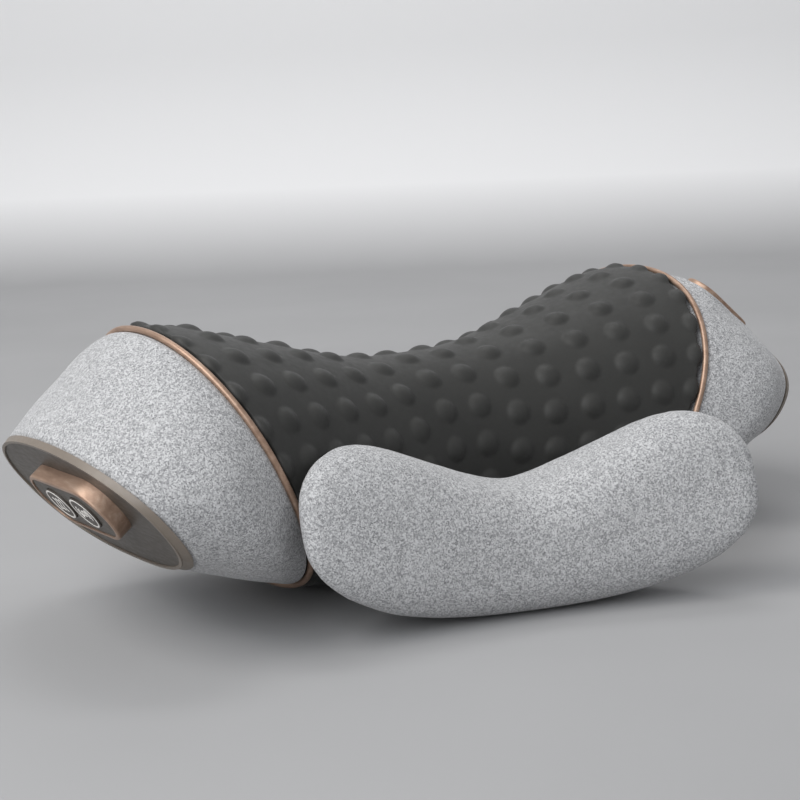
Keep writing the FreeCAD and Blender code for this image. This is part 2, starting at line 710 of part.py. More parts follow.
# ---------------------------------------------------------------- loose pad
def pad_section(place, inset):
    """One rounded upright section of the pad, at a place from 0, its middle, to 1, its tip."""
    depth_share = (1 - place ** PAD_DEPTH_ROUNDNESS) ** (1 / PAD_DEPTH_ROUNDNESS)
    height_share = (1 - place ** PAD_HEIGHT_ROUNDNESS) ** (1 / PAD_HEIGHT_ROUNDNESS)
    half_depth = (PAD_DEPTH + (PAD_END_DEPTH - PAD_DEPTH) * place ** 2) / 2 * depth_share - inset
    past_start = max(0, place - PAD_TIP_START) / (1 - PAD_TIP_START)
    rise = (PAD_END_HEIGHT - PAD_HEIGHT) * place ** PAD_SADDLE_POWER
    top = PAD_HEIGHT + rise - PAD_TIP_DROP * past_start ** 2
    bottom = PAD_END_LIFT * place ** 2
    half_height = (top - bottom) / 2 * height_share - inset
    lean = (PAD_LEAN + PAD_END_LEAN * place ** 2) * height_share
    x = place * (PAD_HALF_LENGTH - inset)
    points = []
    for index in range(OUTLINE_POINTS):
        angle = 2 * math.pi * index / OUTLINE_POINTS
        across = half_depth * signed_power(math.cos(angle), 2 / PAD_ROUNDNESS)
        upwards = signed_power(math.sin(angle), 2 / PAD_ROUNDNESS)
        y = PAD_END_BOW * place ** 2 + across + lean * upwards
        points.append(Vector(x, y, (top + bottom) / 2 + half_height * upwards))
    return closed_curve(points)


def pad_form(inset):
    """The pad as one smooth solid, drawn in by the inset, standing on the ground."""
    wires = []
    for index in range(PAD_STATION_COUNT):
        turn = PAD_LAST_STATION * index / (PAD_STATION_COUNT - 1)
        wires.append(pad_section(math.sin(turn * math.pi / 2), inset))
    turned = FreeCAD.Placement(Vector(PAD_CENTRE[0], PAD_CENTRE[1], 0),
                               FreeCAD.Rotation(Vector(0, 0, 1), PAD_YAW))
    return placed(mirrored_form(wires), turned)


# ---------------------------------------------------------------- assembly
def build():
    """Make every piece and write it."""
    outer = roll_form(0)
    ring = ROLL_SECTIONS[RING_SECTION]
    middle_space = box(2 * CLEAR, 2 * CLEAR, -CLEAR, CLEAR)
    for side in (-1, 1):
        middle_space = middle_space.cut(slab(ring, side, 0, CLEAR))

    control = {name: placed(piece, pod_frame()) for name, piece in control_pod_pieces().items()}
    control_space = placed(pill(POD_LENGTH, POD_WIDTH, -POD_DEPTH, POD_HEIGHT), pod_frame())
    port = {name: placed(piece, port_frame()) for name, piece in port_pod_pieces().items()}
    port_space = pill(PORT_POD_LENGTH, PORT_POD_WIDTH, -PORT_POD_DEPTH, PORT_POD_HEIGHT)
    port_space = placed(port_space, port_frame())
    case = electronics_case_pieces()
    case_space = bar(CASE_LENGTH, CASE_DEPTH, CASE_LOW, CASE_HIGH, CASE_CORNER_RADIUS)
    half_pod = MOTOR_POD_LENGTH / 2
    hollows = [control_space, port_space, case_space]
    motors = {}
    for side, name in ((-1, "left"), (1, "right")):
        motors.update(motor_pieces(side, name))
        hollows.append(cylinder_along_y(MOTOR_POD_RADIUS, -half_pod, half_pod, side * MOTOR_X, MOTOR_Z))
    leads = inner_leads()
    hollows += list(leads.values())

    pieces = {
        "foam_core": foam_core(hollows),
        "heating_film": heating_film(),
        "massage_cover": massage_cover(outer, middle_space),
        "base_grip_sheet": base_sheet(outer),
        "left_trim_ring": trim_ring(-1),
        "right_trim_ring": trim_ring(1),
        "left_fabric_end": fabric_end(outer, -1),
        "right_fabric_end": fabric_end(outer, 1).cut(port_space),
        "left_end_panel": end_panel(-1).cut(control_space),
        "right_end_panel": end_panel(1),
        "left_panel_rim": end_rim(-1),
        "right_panel_rim": end_rim(1),
        "pad_foam": pad_form(PAD_COVER_THICKNESS),
        "pad_cover": pad_form(0).cut(pad_form(PAD_COVER_THICKNESS)),
    }
    for group in (control, port, case, motors, leads):
        pieces.update(group)
    for name, piece in pieces.items():
        save(piece, name)
        print("%-26s valid %s  solids %d  volume %.1f cm3"
              % (name, piece.isValid(), len(piece.Solids), piece.Volume / 1000))


build()
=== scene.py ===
import json
import math

import bmesh
import bpy
import numpy as np
from mathutils import Matrix, Vector
from mathutils.bvhtree import BVHTree


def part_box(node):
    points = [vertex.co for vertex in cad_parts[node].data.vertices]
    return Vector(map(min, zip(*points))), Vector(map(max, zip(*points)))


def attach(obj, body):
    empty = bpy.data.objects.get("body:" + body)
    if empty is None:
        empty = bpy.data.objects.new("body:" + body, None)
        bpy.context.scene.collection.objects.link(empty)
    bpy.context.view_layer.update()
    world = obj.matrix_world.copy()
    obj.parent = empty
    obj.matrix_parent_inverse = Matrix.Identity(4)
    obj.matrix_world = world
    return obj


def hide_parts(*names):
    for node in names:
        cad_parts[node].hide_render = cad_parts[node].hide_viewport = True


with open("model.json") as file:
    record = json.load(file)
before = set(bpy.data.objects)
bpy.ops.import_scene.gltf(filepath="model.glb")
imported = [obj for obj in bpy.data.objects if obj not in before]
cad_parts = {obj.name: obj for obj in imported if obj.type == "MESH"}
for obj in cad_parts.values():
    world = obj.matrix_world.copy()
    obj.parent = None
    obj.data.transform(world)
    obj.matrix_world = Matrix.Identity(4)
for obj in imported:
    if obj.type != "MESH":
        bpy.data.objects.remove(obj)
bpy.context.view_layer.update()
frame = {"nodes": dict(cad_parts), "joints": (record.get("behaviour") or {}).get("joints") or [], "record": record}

NODES = frame["nodes"]
MM = 0.001
RANDOM = np.random.default_rng(7)

# massage cover
COVER_STATIONS = 330          # grid lines along the roll
COVER_ANGLES = 440            # grid lines round the roll
COVER_END_GAP = 1.8 * MM      # the cover's grid stops this far short of the rings
COVER_TUCK = 1.4 * MM         # its two edge rows go this far under the piping
COVER_TUCK_SHRINK = 0.975
COVER_FLOOR = 1.5 * MM        # the cover ends on the grip sheet
NUB_SPACING = 20.6 * MM       # columns of nubs along the roll
NUB_PITCH = 21.0 * MM         # nubs round the roll, within one column
NUB_RADIUS = 6.9 * MM
NUB_HEIGHT = 2.35 * MM
NUB_FILLET = 0.8 * MM
NUB_LOWEST = 15.0 * MM        # no nubs below this height
NUB_END_GAP = 3.0 * MM
NUB_ROW_LIMIT = 40
OUTLINE_ANGLES = 720          # samples round the outline that the nubs are spaced along

# fabric ends
FABRIC_STATIONS = 110
FABRIC_ANGLES = 400
FABRIC_SHARE = (0.030, 0.962)   # part of the way from ring to panel that the fabric covers
FABRIC_LENGTH = 75.0 * MM
FABRIC_TUCK = 1.0 * MM        # depth of the groove where the fabric goes under the piping
FABRIC_TUCK_REACH = 1.6 * MM
FABRIC_DIP = 0.9 * MM         # the fabric dips this much where it meets the panel's rim
FABRIC_DIP_REACH = 1.2 * MM
FABRIC_HEM = ((0.5 * MM, 0.9 * MM), (3.0 * MM, 1.5 * MM))   # in and out, for the hidden edge rows
FABRIC_WAVES = ((70 * MM, 30 * MM, 12 * MM), (0.45 * MM, 0.25 * MM, 0.10 * MM))
FABRIC_FLOOR = 0.3 * MM
POD_HALF_LENGTH = 25.0 * MM   # charging pod, as seen from above it
POD_HALF_WIDTH = 12.0 * MM
POD_SHOWING = 1.7 * MM        # height of the pod left showing above the fabric
POD_SWELL = 9.0 * MM          # reach of the raised fabric round the pod
POD_SWELL_HIGHEST = 5.0 * MM
POD_SWELL_INNER = 2.0 * MM    # under the pod's edge the swell dies away over these two
POD_SWELL_FADE = 1.5 * MM
POD_TUCK = 1.0 * MM

# piping
PIPING_RADIUS = 1.7 * MM
PIPING_PROUD = 0.3 * MM       # the piping stands this far outside the CAD ring
PIPING_POINTS = 300
PIPING_SIDES = 20
PIPING_FLOOR = 0.2 * MM

# pad
PAD_VOXEL = 3.0 * MM
PAD_PLUMP = 6.0 * MM          # the stuffing fills the pad's left end out by this much
PAD_PUFF = 0.3 * MM
PAD_WAVES = ((80 * MM, 35 * MM, 15 * MM), (0.5 * MM, 0.3 * MM, 0.12 * MM))
PAD_FLAT = 2.0 * MM           # the waves fade out from PAD_FLAT + PAD_FADE down to PAD_FLAT
PAD_FADE = 8.0 * MM
PAD_FLOOR = 0.1 * MM

# dots on the grip sheet
DOT_PITCH = 7.5 * MM
DOT_ROW_SHARE = 0.866         # rows are closer than columns, so that the dots stand in triangles
DOT_RADIUS = 2.0 * MM
DOT_HEIGHT = 0.6 * MM
DOT_SIDES = 12
DOT_PROFILE = ((1.0, 1.0), (0.85, 0.35), (0.5, 0.05))   # shares of radius and height

# button icons
ICON_RING_RADIUS = 9.0 * MM
ICON_RING_POINTS = 72
ICON_STROKE = 0.95 * MM
ICON_HEIGHT = 0.25 * MM
ICON_SUNK = 0.05 * MM
WAVE_HALF_HEIGHT = 4.2 * MM
WAVE_SWING = 0.9 * MM
WAVE_GAP = 3.4 * MM
WAVE_TURNS = 1.1              # half turns from the middle of a wave to its end
PULSE_RADII = (3.7 * MM, 5.5 * MM)
PULSE_STARTS = (-42.0, 138.0)
PULSE_SWEEP = 84.0
PULSE_DOT_RADIUS = 1.7 * MM

# camera, in the frame of the roll
CAMERA_AZIMUTH = 35.57
CAMERA_ELEVATION = 10.18
CAMERA_ROLL = 2.43
CAMERA_OFFSET = (-0.0122, 0.0868, 0.9187)   # right, up and back from the origin
CAMERA_LENS = 73.8

# sweep behind the object, in metres
SWEEP_START = -6.0
SWEEP_BEND = 1.6              # distance from the origin to where the floor curves up
SWEEP_RADIUS = 0.35
SWEEP_HEIGHT = 6.0
SWEEP_HALF_WIDTH = 7.0
SWEEP_FADE_HEIGHT = 0.12      # the floor's grey turns to the wall's white up to here

RAY_REACH = 0.25
UP = Vector((0, 0, 1))


# ---------------------------------------------------------------- meshes

def add_object(name, mesh):
    made = bpy.data.objects.new(name, mesh)
    bpy.context.scene.collection.objects.link(made)
    return made


def shade_smooth(mesh):
    mesh.polygons.foreach_set("use_smooth", [True] * len(mesh.polygons))


def new_object(name, vertices, faces, smooth=True):
    mesh = bpy.data.meshes.new(name)
    mesh.from_pydata([tuple(v) for v in vertices], [], faces)
    mesh.update()
    if smooth:
        shade_smooth(mesh)
    return add_object(name, mesh)


def mesh_values(mesh, kind):
    """A value of every vertex, such as its place, as rows of three."""
    found = np.zeros(len(mesh.vertices) * 3)
    mesh.vertices.foreach_get(kind, found)
    return found.reshape(-1, 3)


def points_of(name):
    return mesh_values(NODES[name].data, "co")


def tree_of(*names):
    vertices, faces = [], []
    for name in names:
        mesh = NODES[name].data
        start = len(vertices)
        vertices += [v.co.copy() for v in mesh.vertices]
        faces += [[start + i for i in p.vertices] for p in mesh.polygons]
    return BVHTree.FromPolygons(vertices, faces)


def plane_lean(name, side):
    """Centre of a flat node, and how far it leans out at the top, in radians."""
    points = points_of(name)
    normal = np.linalg.svd(points - points.mean(0), full_matrices=False)[2][-1]
    if normal[0] * side < 0:
        normal = -normal
    return points.mean(0), math.atan2(-normal[2], normal[0] * side)


def directions(lean, side, angles):
    """Unit vectors in a section plane; angle 0 is its top and a quarter turn is +Y."""
    up = np.array((side * math.sin(lean), 0.0, math.cos(lean)))
    across = np.array((0.0, 1.0, 0.0))
    return np.cos(angles)[:, None] * up + np.sin(angles)[:, None] * across


def outward(lean, side):
    """Unit vector at right angles to a section plane, away from the middle of the roll."""
    return np.array((side * math.cos(lean), 0.0, -math.sin(lean)))


def full_turn(count):
    return np.linspace(0, 2 * math.pi, count + 1)[:-1]


def for_detail(count):
    """A grid count, used as given."""
    return count


def unit_rows(vectors):
    return vectors / np.linalg.norm(vectors, axis=1, keepdims=True)


def cast_ring(tree, centre, lean, side, angles):
    """Points where rays towards the centre of a section first meet the surface."""
    found = []
    for way in directions(lean, side, angles):
        start = Vector(centre + way * RAY_REACH)
        hit = tree.ray_cast(start, Vector(-way), RAY_REACH)[0]
        found.append(centre if hit is None else np.array(hit))
    return np.array(found)


def smoothed(grid, times):
    for _ in range(times):
        before, after = np.roll(grid, 1, 1), np.roll(grid, -1, 1)
        grid = 0.5 * grid + 0.25 * (before + after)
        inner = 0.5 * grid[1:-1] + 0.25 * (grid[:-2] + grid[2:])
        grid = np.concatenate((grid[:1], inner, grid[-1:]))
    return grid


def grid_normals(grid):
    along = np.gradient(grid, axis=0)
    round_it = (np.roll(grid, -1, 1) - np.roll(grid, 1, 1)) / 2
    normal = np.cross(along, round_it)
    normal /= np.linalg.norm(normal, axis=2, keepdims=True) + 1e-12
    middle = grid.mean(axis=1, keepdims=True)
    flip = np.sign(np.sum((grid - middle) * normal, axis=2, keepdims=True).mean())
    return normal * flip


def tube_faces(rows, columns):
    faces = []
    for i in range(rows - 1):
        for j in range(columns):
            k = (j + 1) % columns
            near, far = i * columns, (i + 1) * columns
            faces.append((near + j, near + k, far + k, far + j))
    return faces


def closed_tube(name, grid):
    """An object from a grid of closed rings, with its two ends filled."""
    rows, columns = grid.shape[:2]
    vertices = list(grid.reshape(-1, 3))
    faces = tube_faces(rows, columns)
    for row in (0, rows - 1):
        vertices.append(grid[row].mean(0))
        last = len(vertices) - 1
        faces += [(row * columns + j, row * columns + (j + 1) % columns, last) for j in range(columns)]
    made = new_object(name, vertices, faces)
    fix_normals(made)
    return made


def fix_normals(piece):
    work = bmesh.new()
    work.from_mesh(piece.data)
    bmesh.ops.recalc_face_normals(work, faces=work.faces)
    work.to_mesh(piece.data)
    work.free()


def waves(points, lengths, sizes):
    """Gentle unevenness: a sum of slow waves in seeded directions."""
    total = np.zeros(points.shape[:-1])
    for length, size in zip(lengths, sizes):
        for _ in range(4):
            way = RANDOM.normal(size=3)
            way *= 2 * math.pi / (length * np.linalg.norm(way))
            total += size / 4 * np.sin(points @ way + RANDOM.uniform(0, 2 * math.pi))
    return total


# ---------------------------------------------------------------- sections of the roll

SIDES = {-1: "left", 1: "right"}
RING = {side: plane_lean(name + "_trim_ring", side) for side, name in SIDES.items()}
PANEL = {side: plane_lean(name + "_end_panel", side) for side, name in SIDES.items()}
RING_X = abs(RING[1][0][0])


def cover_station(x, middle_z):
    """Centre and lean of the section of the cover that crosses the middle line at x."""
    side = -1 if x < 0 else 1
    centre, lean = RING[side]
    part = abs(x) / abs(centre[0])
    z = middle_z + (centre[2] - middle_z) * part ** 2
    y = centre[1] * part ** 2
    return np.array((x, y, z)), lean * part, side


def end_station(side, part):
    """Centre and lean of a section of the fabric end, from the ring, 0, to the panel, 1."""
    (start, start_lean), (end, end_lean) = RING[side], PANEL[side]
    return start + (end - start) * part, start_lean + (end_lean - start_lean) * part


# ---------------------------------------------------------------- massage cover

def nubs_along(line, shift, first):
    """Nub places at even steps along one half of an outline, from its top."""
    steps = np.linalg.norm(np.diff(line, axis=0), axis=1)
    arc = np.concatenate(([0.0], np.cumsum(steps)))
    found = []
    for n in range(first, NUB_ROW_LIMIT):
        place = (n + shift) * NUB_PITCH
        if place > arc[-1]:
            break
        point = np.array([np.interp(place, arc, line[:, axis]) for axis in range(3)])
        if point[2] > NUB_LOWEST:
            found.append(point)
    return found


def nub_centres(tree, middle_z):
    """Staggered columns of nubs, the same on both sides of the middle."""
    centres = []
    half = OUTLINE_ANGLES // 2 + 1
    limit = RING_X - NUB_END_GAP
    count = int(limit / NUB_SPACING + 0.5)
    for column in range(-count, count):
        x = (column + 0.5) * NUB_SPACING
        if abs(x) > limit:
            continue
        centre, lean, side = cover_station(x, middle_z)
        outline = cast_ring(tree, centre, lean, side, full_turn(OUTLINE_ANGLES))
        from_middle = int(abs(column + 0.5) - 0.5)
        shift = 0.5 if from_middle % 2 == 0 else 0.0
        backwards = np.roll(outline[::-1], 1, 0)
        centres += nubs_along(outline[:half], shift, 0)
        centres += nubs_along(backwards[:half], shift, 0 if shift else 1)
    return np.array(centres)


def nub_height(distance):
    """A ball-shaped dome that meets the cover in a small fillet."""
    ball = (NUB_RADIUS ** 2 + NUB_HEIGHT ** 2) / (2 * NUB_HEIGHT)
    inside = np.maximum(ball ** 2 - np.minimum(distance, ball) ** 2, 0)
    dome = np.sqrt(inside) - ball + NUB_HEIGHT
    blend = np.clip(0.5 + 0.5 * dome / NUB_FILLET, 0, 1)
    return dome * blend + NUB_FILLET * blend * (1 - blend)


def cover_grid(tree, middle_z):
    """The cover's smooth surface, from ring to ring, before it gets its nubs."""
    angles = full_turn(for_detail(COVER_ANGLES))
    edge = RING_X - COVER_END_GAP
    grid = []
    for x in np.linspace(-edge, edge, for_detail(COVER_STATIONS)):
        centre, lean, side = cover_station(x, middle_z)
        grid.append(cast_ring(tree, centre, lean, side, angles))
    return smoothed(np.array(grid), 3)


def tucked_row(grid, side):
    """The row that takes one edge of the cover under the piping."""
    row = grid[0 if side == -1 else -1]
    middle = row.mean(0)
    out = outward(RING[side][1], side)
    return (middle + (row - middle) * COVER_TUCK_SHRINK + out * COVER_TUCK)[None]


def make_cover():
    tree = tree_of("massage_cover", "base_grip_sheet")
    bottom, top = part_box("massage_cover")
    saddle = tree.ray_cast(Vector((0, 0, top[2] + RAY_REACH)), -UP)[0]
    middle_z = (saddle[2] + bottom[2]) / 2
    grid = cover_grid(tree, middle_z)
    normal = grid_normals(grid)
    nearest = np.full(grid.shape[:2], np.inf)
    for centre in nub_centres(tree, middle_z):
        nearest = np.minimum(nearest, np.linalg.norm(grid - centre, axis=2))
    grid = grid + normal * nub_height(nearest)[:, :, None]
    grid = np.concatenate((tucked_row(grid, -1), grid, tucked_row(grid, 1)))
    grid[:, :, 2] = np.maximum(grid[:, :, 2], COVER_FLOOR)
    cover = closed_tube("massage_cover_skin", grid)
    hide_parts("massage_cover", "foam_core")
    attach(cover, "roll")
    return cover


# ---------------------------------------------------------------- fabric ends and piping

def swell_round_pod(grid, normal):
    """How far the fabric stands up round the charging pod, which is sunk into it."""
    mount = next(m for m in frame["record"]["mounts"] if m["name"] == "charge_port")
    out = np.array(mount["axis"])
    along = unit_rows(np.array([(out[2], 0.0, -out[0])]))[0]
    across = np.cross(out, along)
    offset = grid - np.array(mount["pos_m"])
    past_middle = np.maximum(np.abs(offset @ along) - (POD_HALF_LENGTH - POD_HALF_WIDTH), 0)
    from_edge = np.hypot(past_middle, offset @ across) - POD_HALF_WIDTH
    raised = np.clip(-POD_SHOWING - offset @ out, 0, POD_SWELL_HIGHEST)
    beyond = np.maximum(from_edge, 0)
    fade = np.exp(-(beyond / POD_SWELL) ** 2)
    outside = np.clip((from_edge + POD_SWELL_INNER) / POD_SWELL_FADE, 0, 1)
    tuck = 1 - 0.5 * np.exp(-beyond / POD_TUCK)
    facing = np.clip((normal @ out - 0.3) / 0.3, 0, 1)
    return raised * fade * outside * tuck * facing


def fabric_grid(side):
    """The fabric's surface from ring to panel, with a groove and a dip at its edges."""
    tree = tree_of(SIDES[side] + "_fabric_end", "foam_core")
    angles = full_turn(for_detail(FABRIC_ANGLES))
    parts = np.linspace(*FABRIC_SHARE, for_detail(FABRIC_STATIONS))
    grid = smoothed(np.array([cast_ring(tree, *end_station(side, part), side, angles) for part in parts]), 4)
    normal = grid_normals(grid)
    share = np.linspace(0, 1, len(parts))
    groove = FABRIC_TUCK * np.exp(-share * FABRIC_LENGTH / FABRIC_TUCK_REACH)
    dip = FABRIC_DIP * np.exp(-(1 - share) * FABRIC_LENGTH / FABRIC_DIP_REACH)
    from_edges = np.minimum(1, np.minimum(share, 1 - share) * 8)[:, None]
    offset = waves(grid, *FABRIC_WAVES) * from_edges - groove[:, None] - dip[:, None]
    if side == 1:
        offset = offset + swell_round_pod(grid, normal) * from_edges
    return grid + normal * offset[:, :, None]


def hem_rows(row, out):
    """Rows that take an edge of the fabric in and out of sight."""
    inwards = unit_rows(row.mean(0) - row)
    return [(row + inwards * shrink + out * step)[None] for shrink, step in FABRIC_HEM]


def make_fabric_end(side):
    name = SIDES[side]
    grid = fabric_grid(side)
    at_ring = hem_rows(grid[0], -outward(RING[side][1], side))
    at_panel = hem_rows(grid[-1], outward(PANEL[side][1], side))
    grid = np.concatenate(at_ring[::-1] + [grid] + at_panel)
    grid[:, :, 2] = np.maximum(grid[:, :, 2], FABRIC_FLOOR)
    fabric = closed_tube(name + "_fabric_skin", grid)
    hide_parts(name + "_fabric_end")
    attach(fabric, "roll")
    return fabric


def make_piping(side):
    """A round cord of trim that follows the CAD ring."""
    name = SIDES[side]
    tree = tree_of(name + "_trim_ring")
    centre, lean = RING[side]
    path = cast_ring(tree, centre, lean, side, full_turn(PIPING_POINTS))
    path = smoothed(path[None].repeat(3, 0), 4)[1]
    ahead = unit_rows(np.roll(path, -1, 0) - np.roll(path, 1, 0))
    out = outward(lean, side)
    away = unit_rows(np.cross(ahead, out))
    if np.sum(away * (path - path.mean(0))) < 0:
        away = -away
    path = path - away * (PIPING_RADIUS - PIPING_PROUD)
    grid = np.array([path + PIPING_RADIUS * (math.cos(t) * away + math.sin(t) * out)
                     for t in full_turn(PIPING_SIDES)])
    grid[:, :, 2] = np.maximum(grid[:, :, 2], PIPING_FLOOR)
    rows, columns = grid.shape[:2]
    last = (rows - 1) * columns
    faces = tube_faces(rows, columns)
    faces += [(last + j, last + (j + 1) % columns, (j + 1) % columns, j) for j in range(columns)]
    piping = new_object(name + "_piping", grid.reshape(-1, 3), faces)
    fix_normals(piping)
    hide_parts(name + "_trim_ring")
    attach(piping, "roll")
    return piping


# ---------------------------------------------------------------- pad

def connected_faces(first):
    """All faces that can be reached from one face across edges."""
    group, stack = {first}, [first]
    while stack:
        for edge in stack.pop().edges:
            fresh = [face for face in edge.link_faces if face not in group]
            group.update(fresh)
            stack += fresh
    return group


def length_of(faces):
    xs = [vertex.co.x for face in faces for vertex in face.verts]
    return max(xs) - min(xs)


def outer_shell(name):
    """The outermost connected surface of a node, as a mesh."""
    work = bmesh.new()
    work.from_mesh(NODES[name].data)
    bmesh.ops.remove_doubles(work, verts=work.verts, dist=0.01 * MM)
    shells, left = [], set(work.faces)
    while left:
        shells.append(connected_faces(next(iter(left))))
        left -= shells[-1]
    outer = max(shells, key=length_of)
    bmesh.ops.delete(work, geom=[face for face in work.faces if face not in outer], context="FACES")
    mesh = bpy.data.meshes.new(name + "_outer")
    work.to_mesh(mesh)
    work.free()
    return mesh


def apply_modifiers(piece):
    graph = bpy.context.evaluated_depsgraph_get()
    made = bpy.data.meshes.new_from_object(piece.evaluated_get(graph))
    piece.modifiers.clear()
    piece.data = made
    shade_smooth(made)


def rounded_form(name, mesh):
    """A piece with an even, softly rounded mesh."""
    piece = add_object(name, mesh)
    remesh = piece.modifiers.new("remesh", "REMESH")
    remesh.mode = "VOXEL"
    remesh.voxel_size = PAD_VOXEL
    relax = piece.modifiers.new("relax", "SMOOTH")
    relax.factor = 0.5
    relax.iterations = 8
    finer = piece.modifiers.new("finer", "SUBSURF")
    finer.levels = 1
    finer.render_levels = 1
    apply_modifiers(piece)
    return piece


def plumped(place):
    """The pad's points, with its left end filled out along its length."""
    middle = place.mean(0)
    along = np.linalg.svd((place - middle)[::20], full_matrices=False)[2][0]
    along *= np.sign(along[0])
    share = (place - middle) @ along
    share = np.clip(-share / np.abs(share).max(), 0, 1)
    return place - (PAD_PLUMP * share ** 2)[:, None] * along


def make_pad():
    pad = rounded_form("pad_cushion", outer_shell("pad_cover"))
    place, normal = mesh_values(pad.data, "co"), mesh_values(pad.data, "normal")
    above_floor = np.clip((place[:, 2] - PAD_FLAT) / PAD_FADE, 0, 1)
    place = place + normal * (waves(place, *PAD_WAVES) * above_floor + PAD_PUFF)[:, None]
    place[:, 2] = np.maximum(place[:, 2], PAD_FLOOR)
    pad.data.vertices.foreach_set("co", plumped(place).ravel())
    pad.data.update()
    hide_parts("pad_cover", "pad_foam")
    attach(pad, "height_pad")
    return pad


# ---------------------------------------------------------------- grip sheet

def dot_places():
    """Places of the dots: staggered rows, where the whole dot stands on the sheet."""
    tree = tree_of("base_grip_sheet")
    low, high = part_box("base_grip_sheet")
    rows = int((high[1] - low[1]) / (DOT_PITCH * DOT_ROW_SHARE)) + 1
    columns = int((high[0] - low[0]) / DOT_PITCH) + 1
    reach = DOT_RADIUS * 1.5
    found = []
    for i in range(rows):
        for j in range(columns):
            x = low[0] + (j + 0.5 * (i % 2)) * DOT_PITCH
            y = low[1] + i * DOT_PITCH * DOT_ROW_SHARE
            corners = [Vector((x + a, y + b, -10 * MM)) for a in (-reach, reach) for b in (-reach, reach)]
            if all(tree.ray_cast(corner, UP)[0] is not None for corner in corners):
                found.append((x, y))
    return found


def add_dot(vertices, faces, x, y):
    """A low dome that points down, added to the lists of vertices and faces."""
    start = len(vertices)
    for width, height in DOT_PROFILE:
        for turn in full_turn(DOT_SIDES):
            across = DOT_RADIUS * width
            vertices.append((x + across * math.cos(turn), y + across * math.sin(turn), DOT_HEIGHT * height))
    for row in range(2):
        for k in range(DOT_SIDES):
            n = (k + 1) % DOT_SIDES
            first, second = start + row * DOT_SIDES, start + (row + 1) * DOT_SIDES
            faces.append((first + n, first + k, second + k, second + n))
    faces.append([start + 2 * DOT_SIDES + k for k in range(DOT_SIDES)][::-1])


def make_grip_sheet():
    sheet = NODES["base_grip_sheet"].data.copy()
    piece = add_object("base_grip_skin", sheet)
    place = points_of("base_grip_sheet")
    place[:, 2] = np.where(place[:, 2] < DOT_HEIGHT / 2, DOT_HEIGHT * 0.8, place[:, 2])
    sheet.vertices.foreach_set("co", place.ravel())
    sheet.update()
    vertices, faces = [], []
    for x, y in dot_places():
        add_dot(vertices, faces, x, y)
    dots = new_object("base_grip_dots", vertices, faces)
    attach(dots, "roll")
    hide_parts("base_grip_sheet")
    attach(piece, "roll")
    return piece, dots


# ---------------------------------------------------------------- icons on the buttons

def stroke(points, width, height, closed=False):
    """Vertices and faces of a flat raised line through points on a plane."""
    line = np.array(points)
    ahead = np.roll(line, -1, 0) - np.roll(line, 1, 0) if closed else np.gradient(line, axis=0)
    ahead = unit_rows(ahead)
    across = np.stack((-ahead[:, 1], ahead[:, 0]), 1)
    vertices, faces = [], []
    shape = ((-0.5, 0.0), (-0.5, 0.7), (-0.32, 1.0), (0.32, 1.0), (0.5, 0.7), (0.5, 0.0))
    for point, way in zip(line, across):
        vertices += [(*(point + way * a * width), b * height) for a, b in shape]
    size = len(shape)
    count = len(line) if closed else len(line) - 1
    for i in range(count):
        n = (i + 1) % len(line)
        for j in range(size):
            k = (j + 1) % size
            faces.append((i * size + j, n * size + j, n * size + k, i * size + k))
    if not closed:
        end = len(line) * size
        faces += [list(range(size)), list(range(end - size, end))[::-1]]
    return vertices, faces


def circle_stroke(radius, count):
    points = [(radius * math.cos(t), radius * math.sin(t)) for t in full_turn(count)]
    return stroke(points, ICON_STROKE, ICON_HEIGHT, closed=True)


def arc_stroke(radius, start):
    turn = np.radians(start + PULSE_SWEEP * np.linspace(0, 1, 24))
    points = [(radius * math.cos(t), radius * math.sin(t)) for t in turn]
    return stroke(points, ICON_STROKE, ICON_HEIGHT)


def wave_stroke(x):
    """An upright wavy line, for warmth."""
    heights = np.linspace(-WAVE_HALF_HEIGHT, WAVE_HALF_HEIGHT, 24)
    turn = heights / WAVE_HALF_HEIGHT * math.pi * WAVE_TURNS
    points = [(x + WAVE_SWING * math.sin(t), height) for t, height in zip(turn, heights)]
    return stroke(points, ICON_STROKE, ICON_HEIGHT)


def join_strokes(strokes):
    vertices, faces = [], []
    for more, sides in strokes:
        start = len(vertices)
        vertices += more
        faces += [[start + i for i in face] for face in sides]
    return vertices, faces


def heat_strokes():
    ring = circle_stroke(ICON_RING_RADIUS, ICON_RING_POINTS)
    return join_strokes([ring] + [wave_stroke(x) for x in (-WAVE_GAP, 0.0, WAVE_GAP)])


def massage_strokes():
    parts = [circle_stroke(ICON_RING_RADIUS, ICON_RING_POINTS), circle_stroke(PULSE_DOT_RADIUS, 32)]
    parts += [arc_stroke(radius, start) for start in PULSE_STARTS for radius in PULSE_RADII]
    return join_strokes(parts)


def make_icon(name, button, joint_name, strokes):
    joint = next(j for j in frame["joints"] if j["name"] == joint_name)
    out = -Vector(joint["axis"]).normalized()
    upward = (UP - UP.dot(out) * out).normalized()
    sideways = upward.cross(out).normalized()
    points = points_of(button)
    reach = points @ np.array(out)
    top = points[reach > reach.max() - 0.02 * MM]
    centre = Vector((top.min(0) + top.max(0)) / 2)
    vertices, faces = strokes
    placed = [centre + sideways * x + upward * y + out * (z - ICON_SUNK) for x, y, z in vertices]
    icon = new_object(name, placed, faces, smooth=False)
    fix_normals(icon)
    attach(icon, button)
    return icon


# ---------------------------------------------------------------- materials

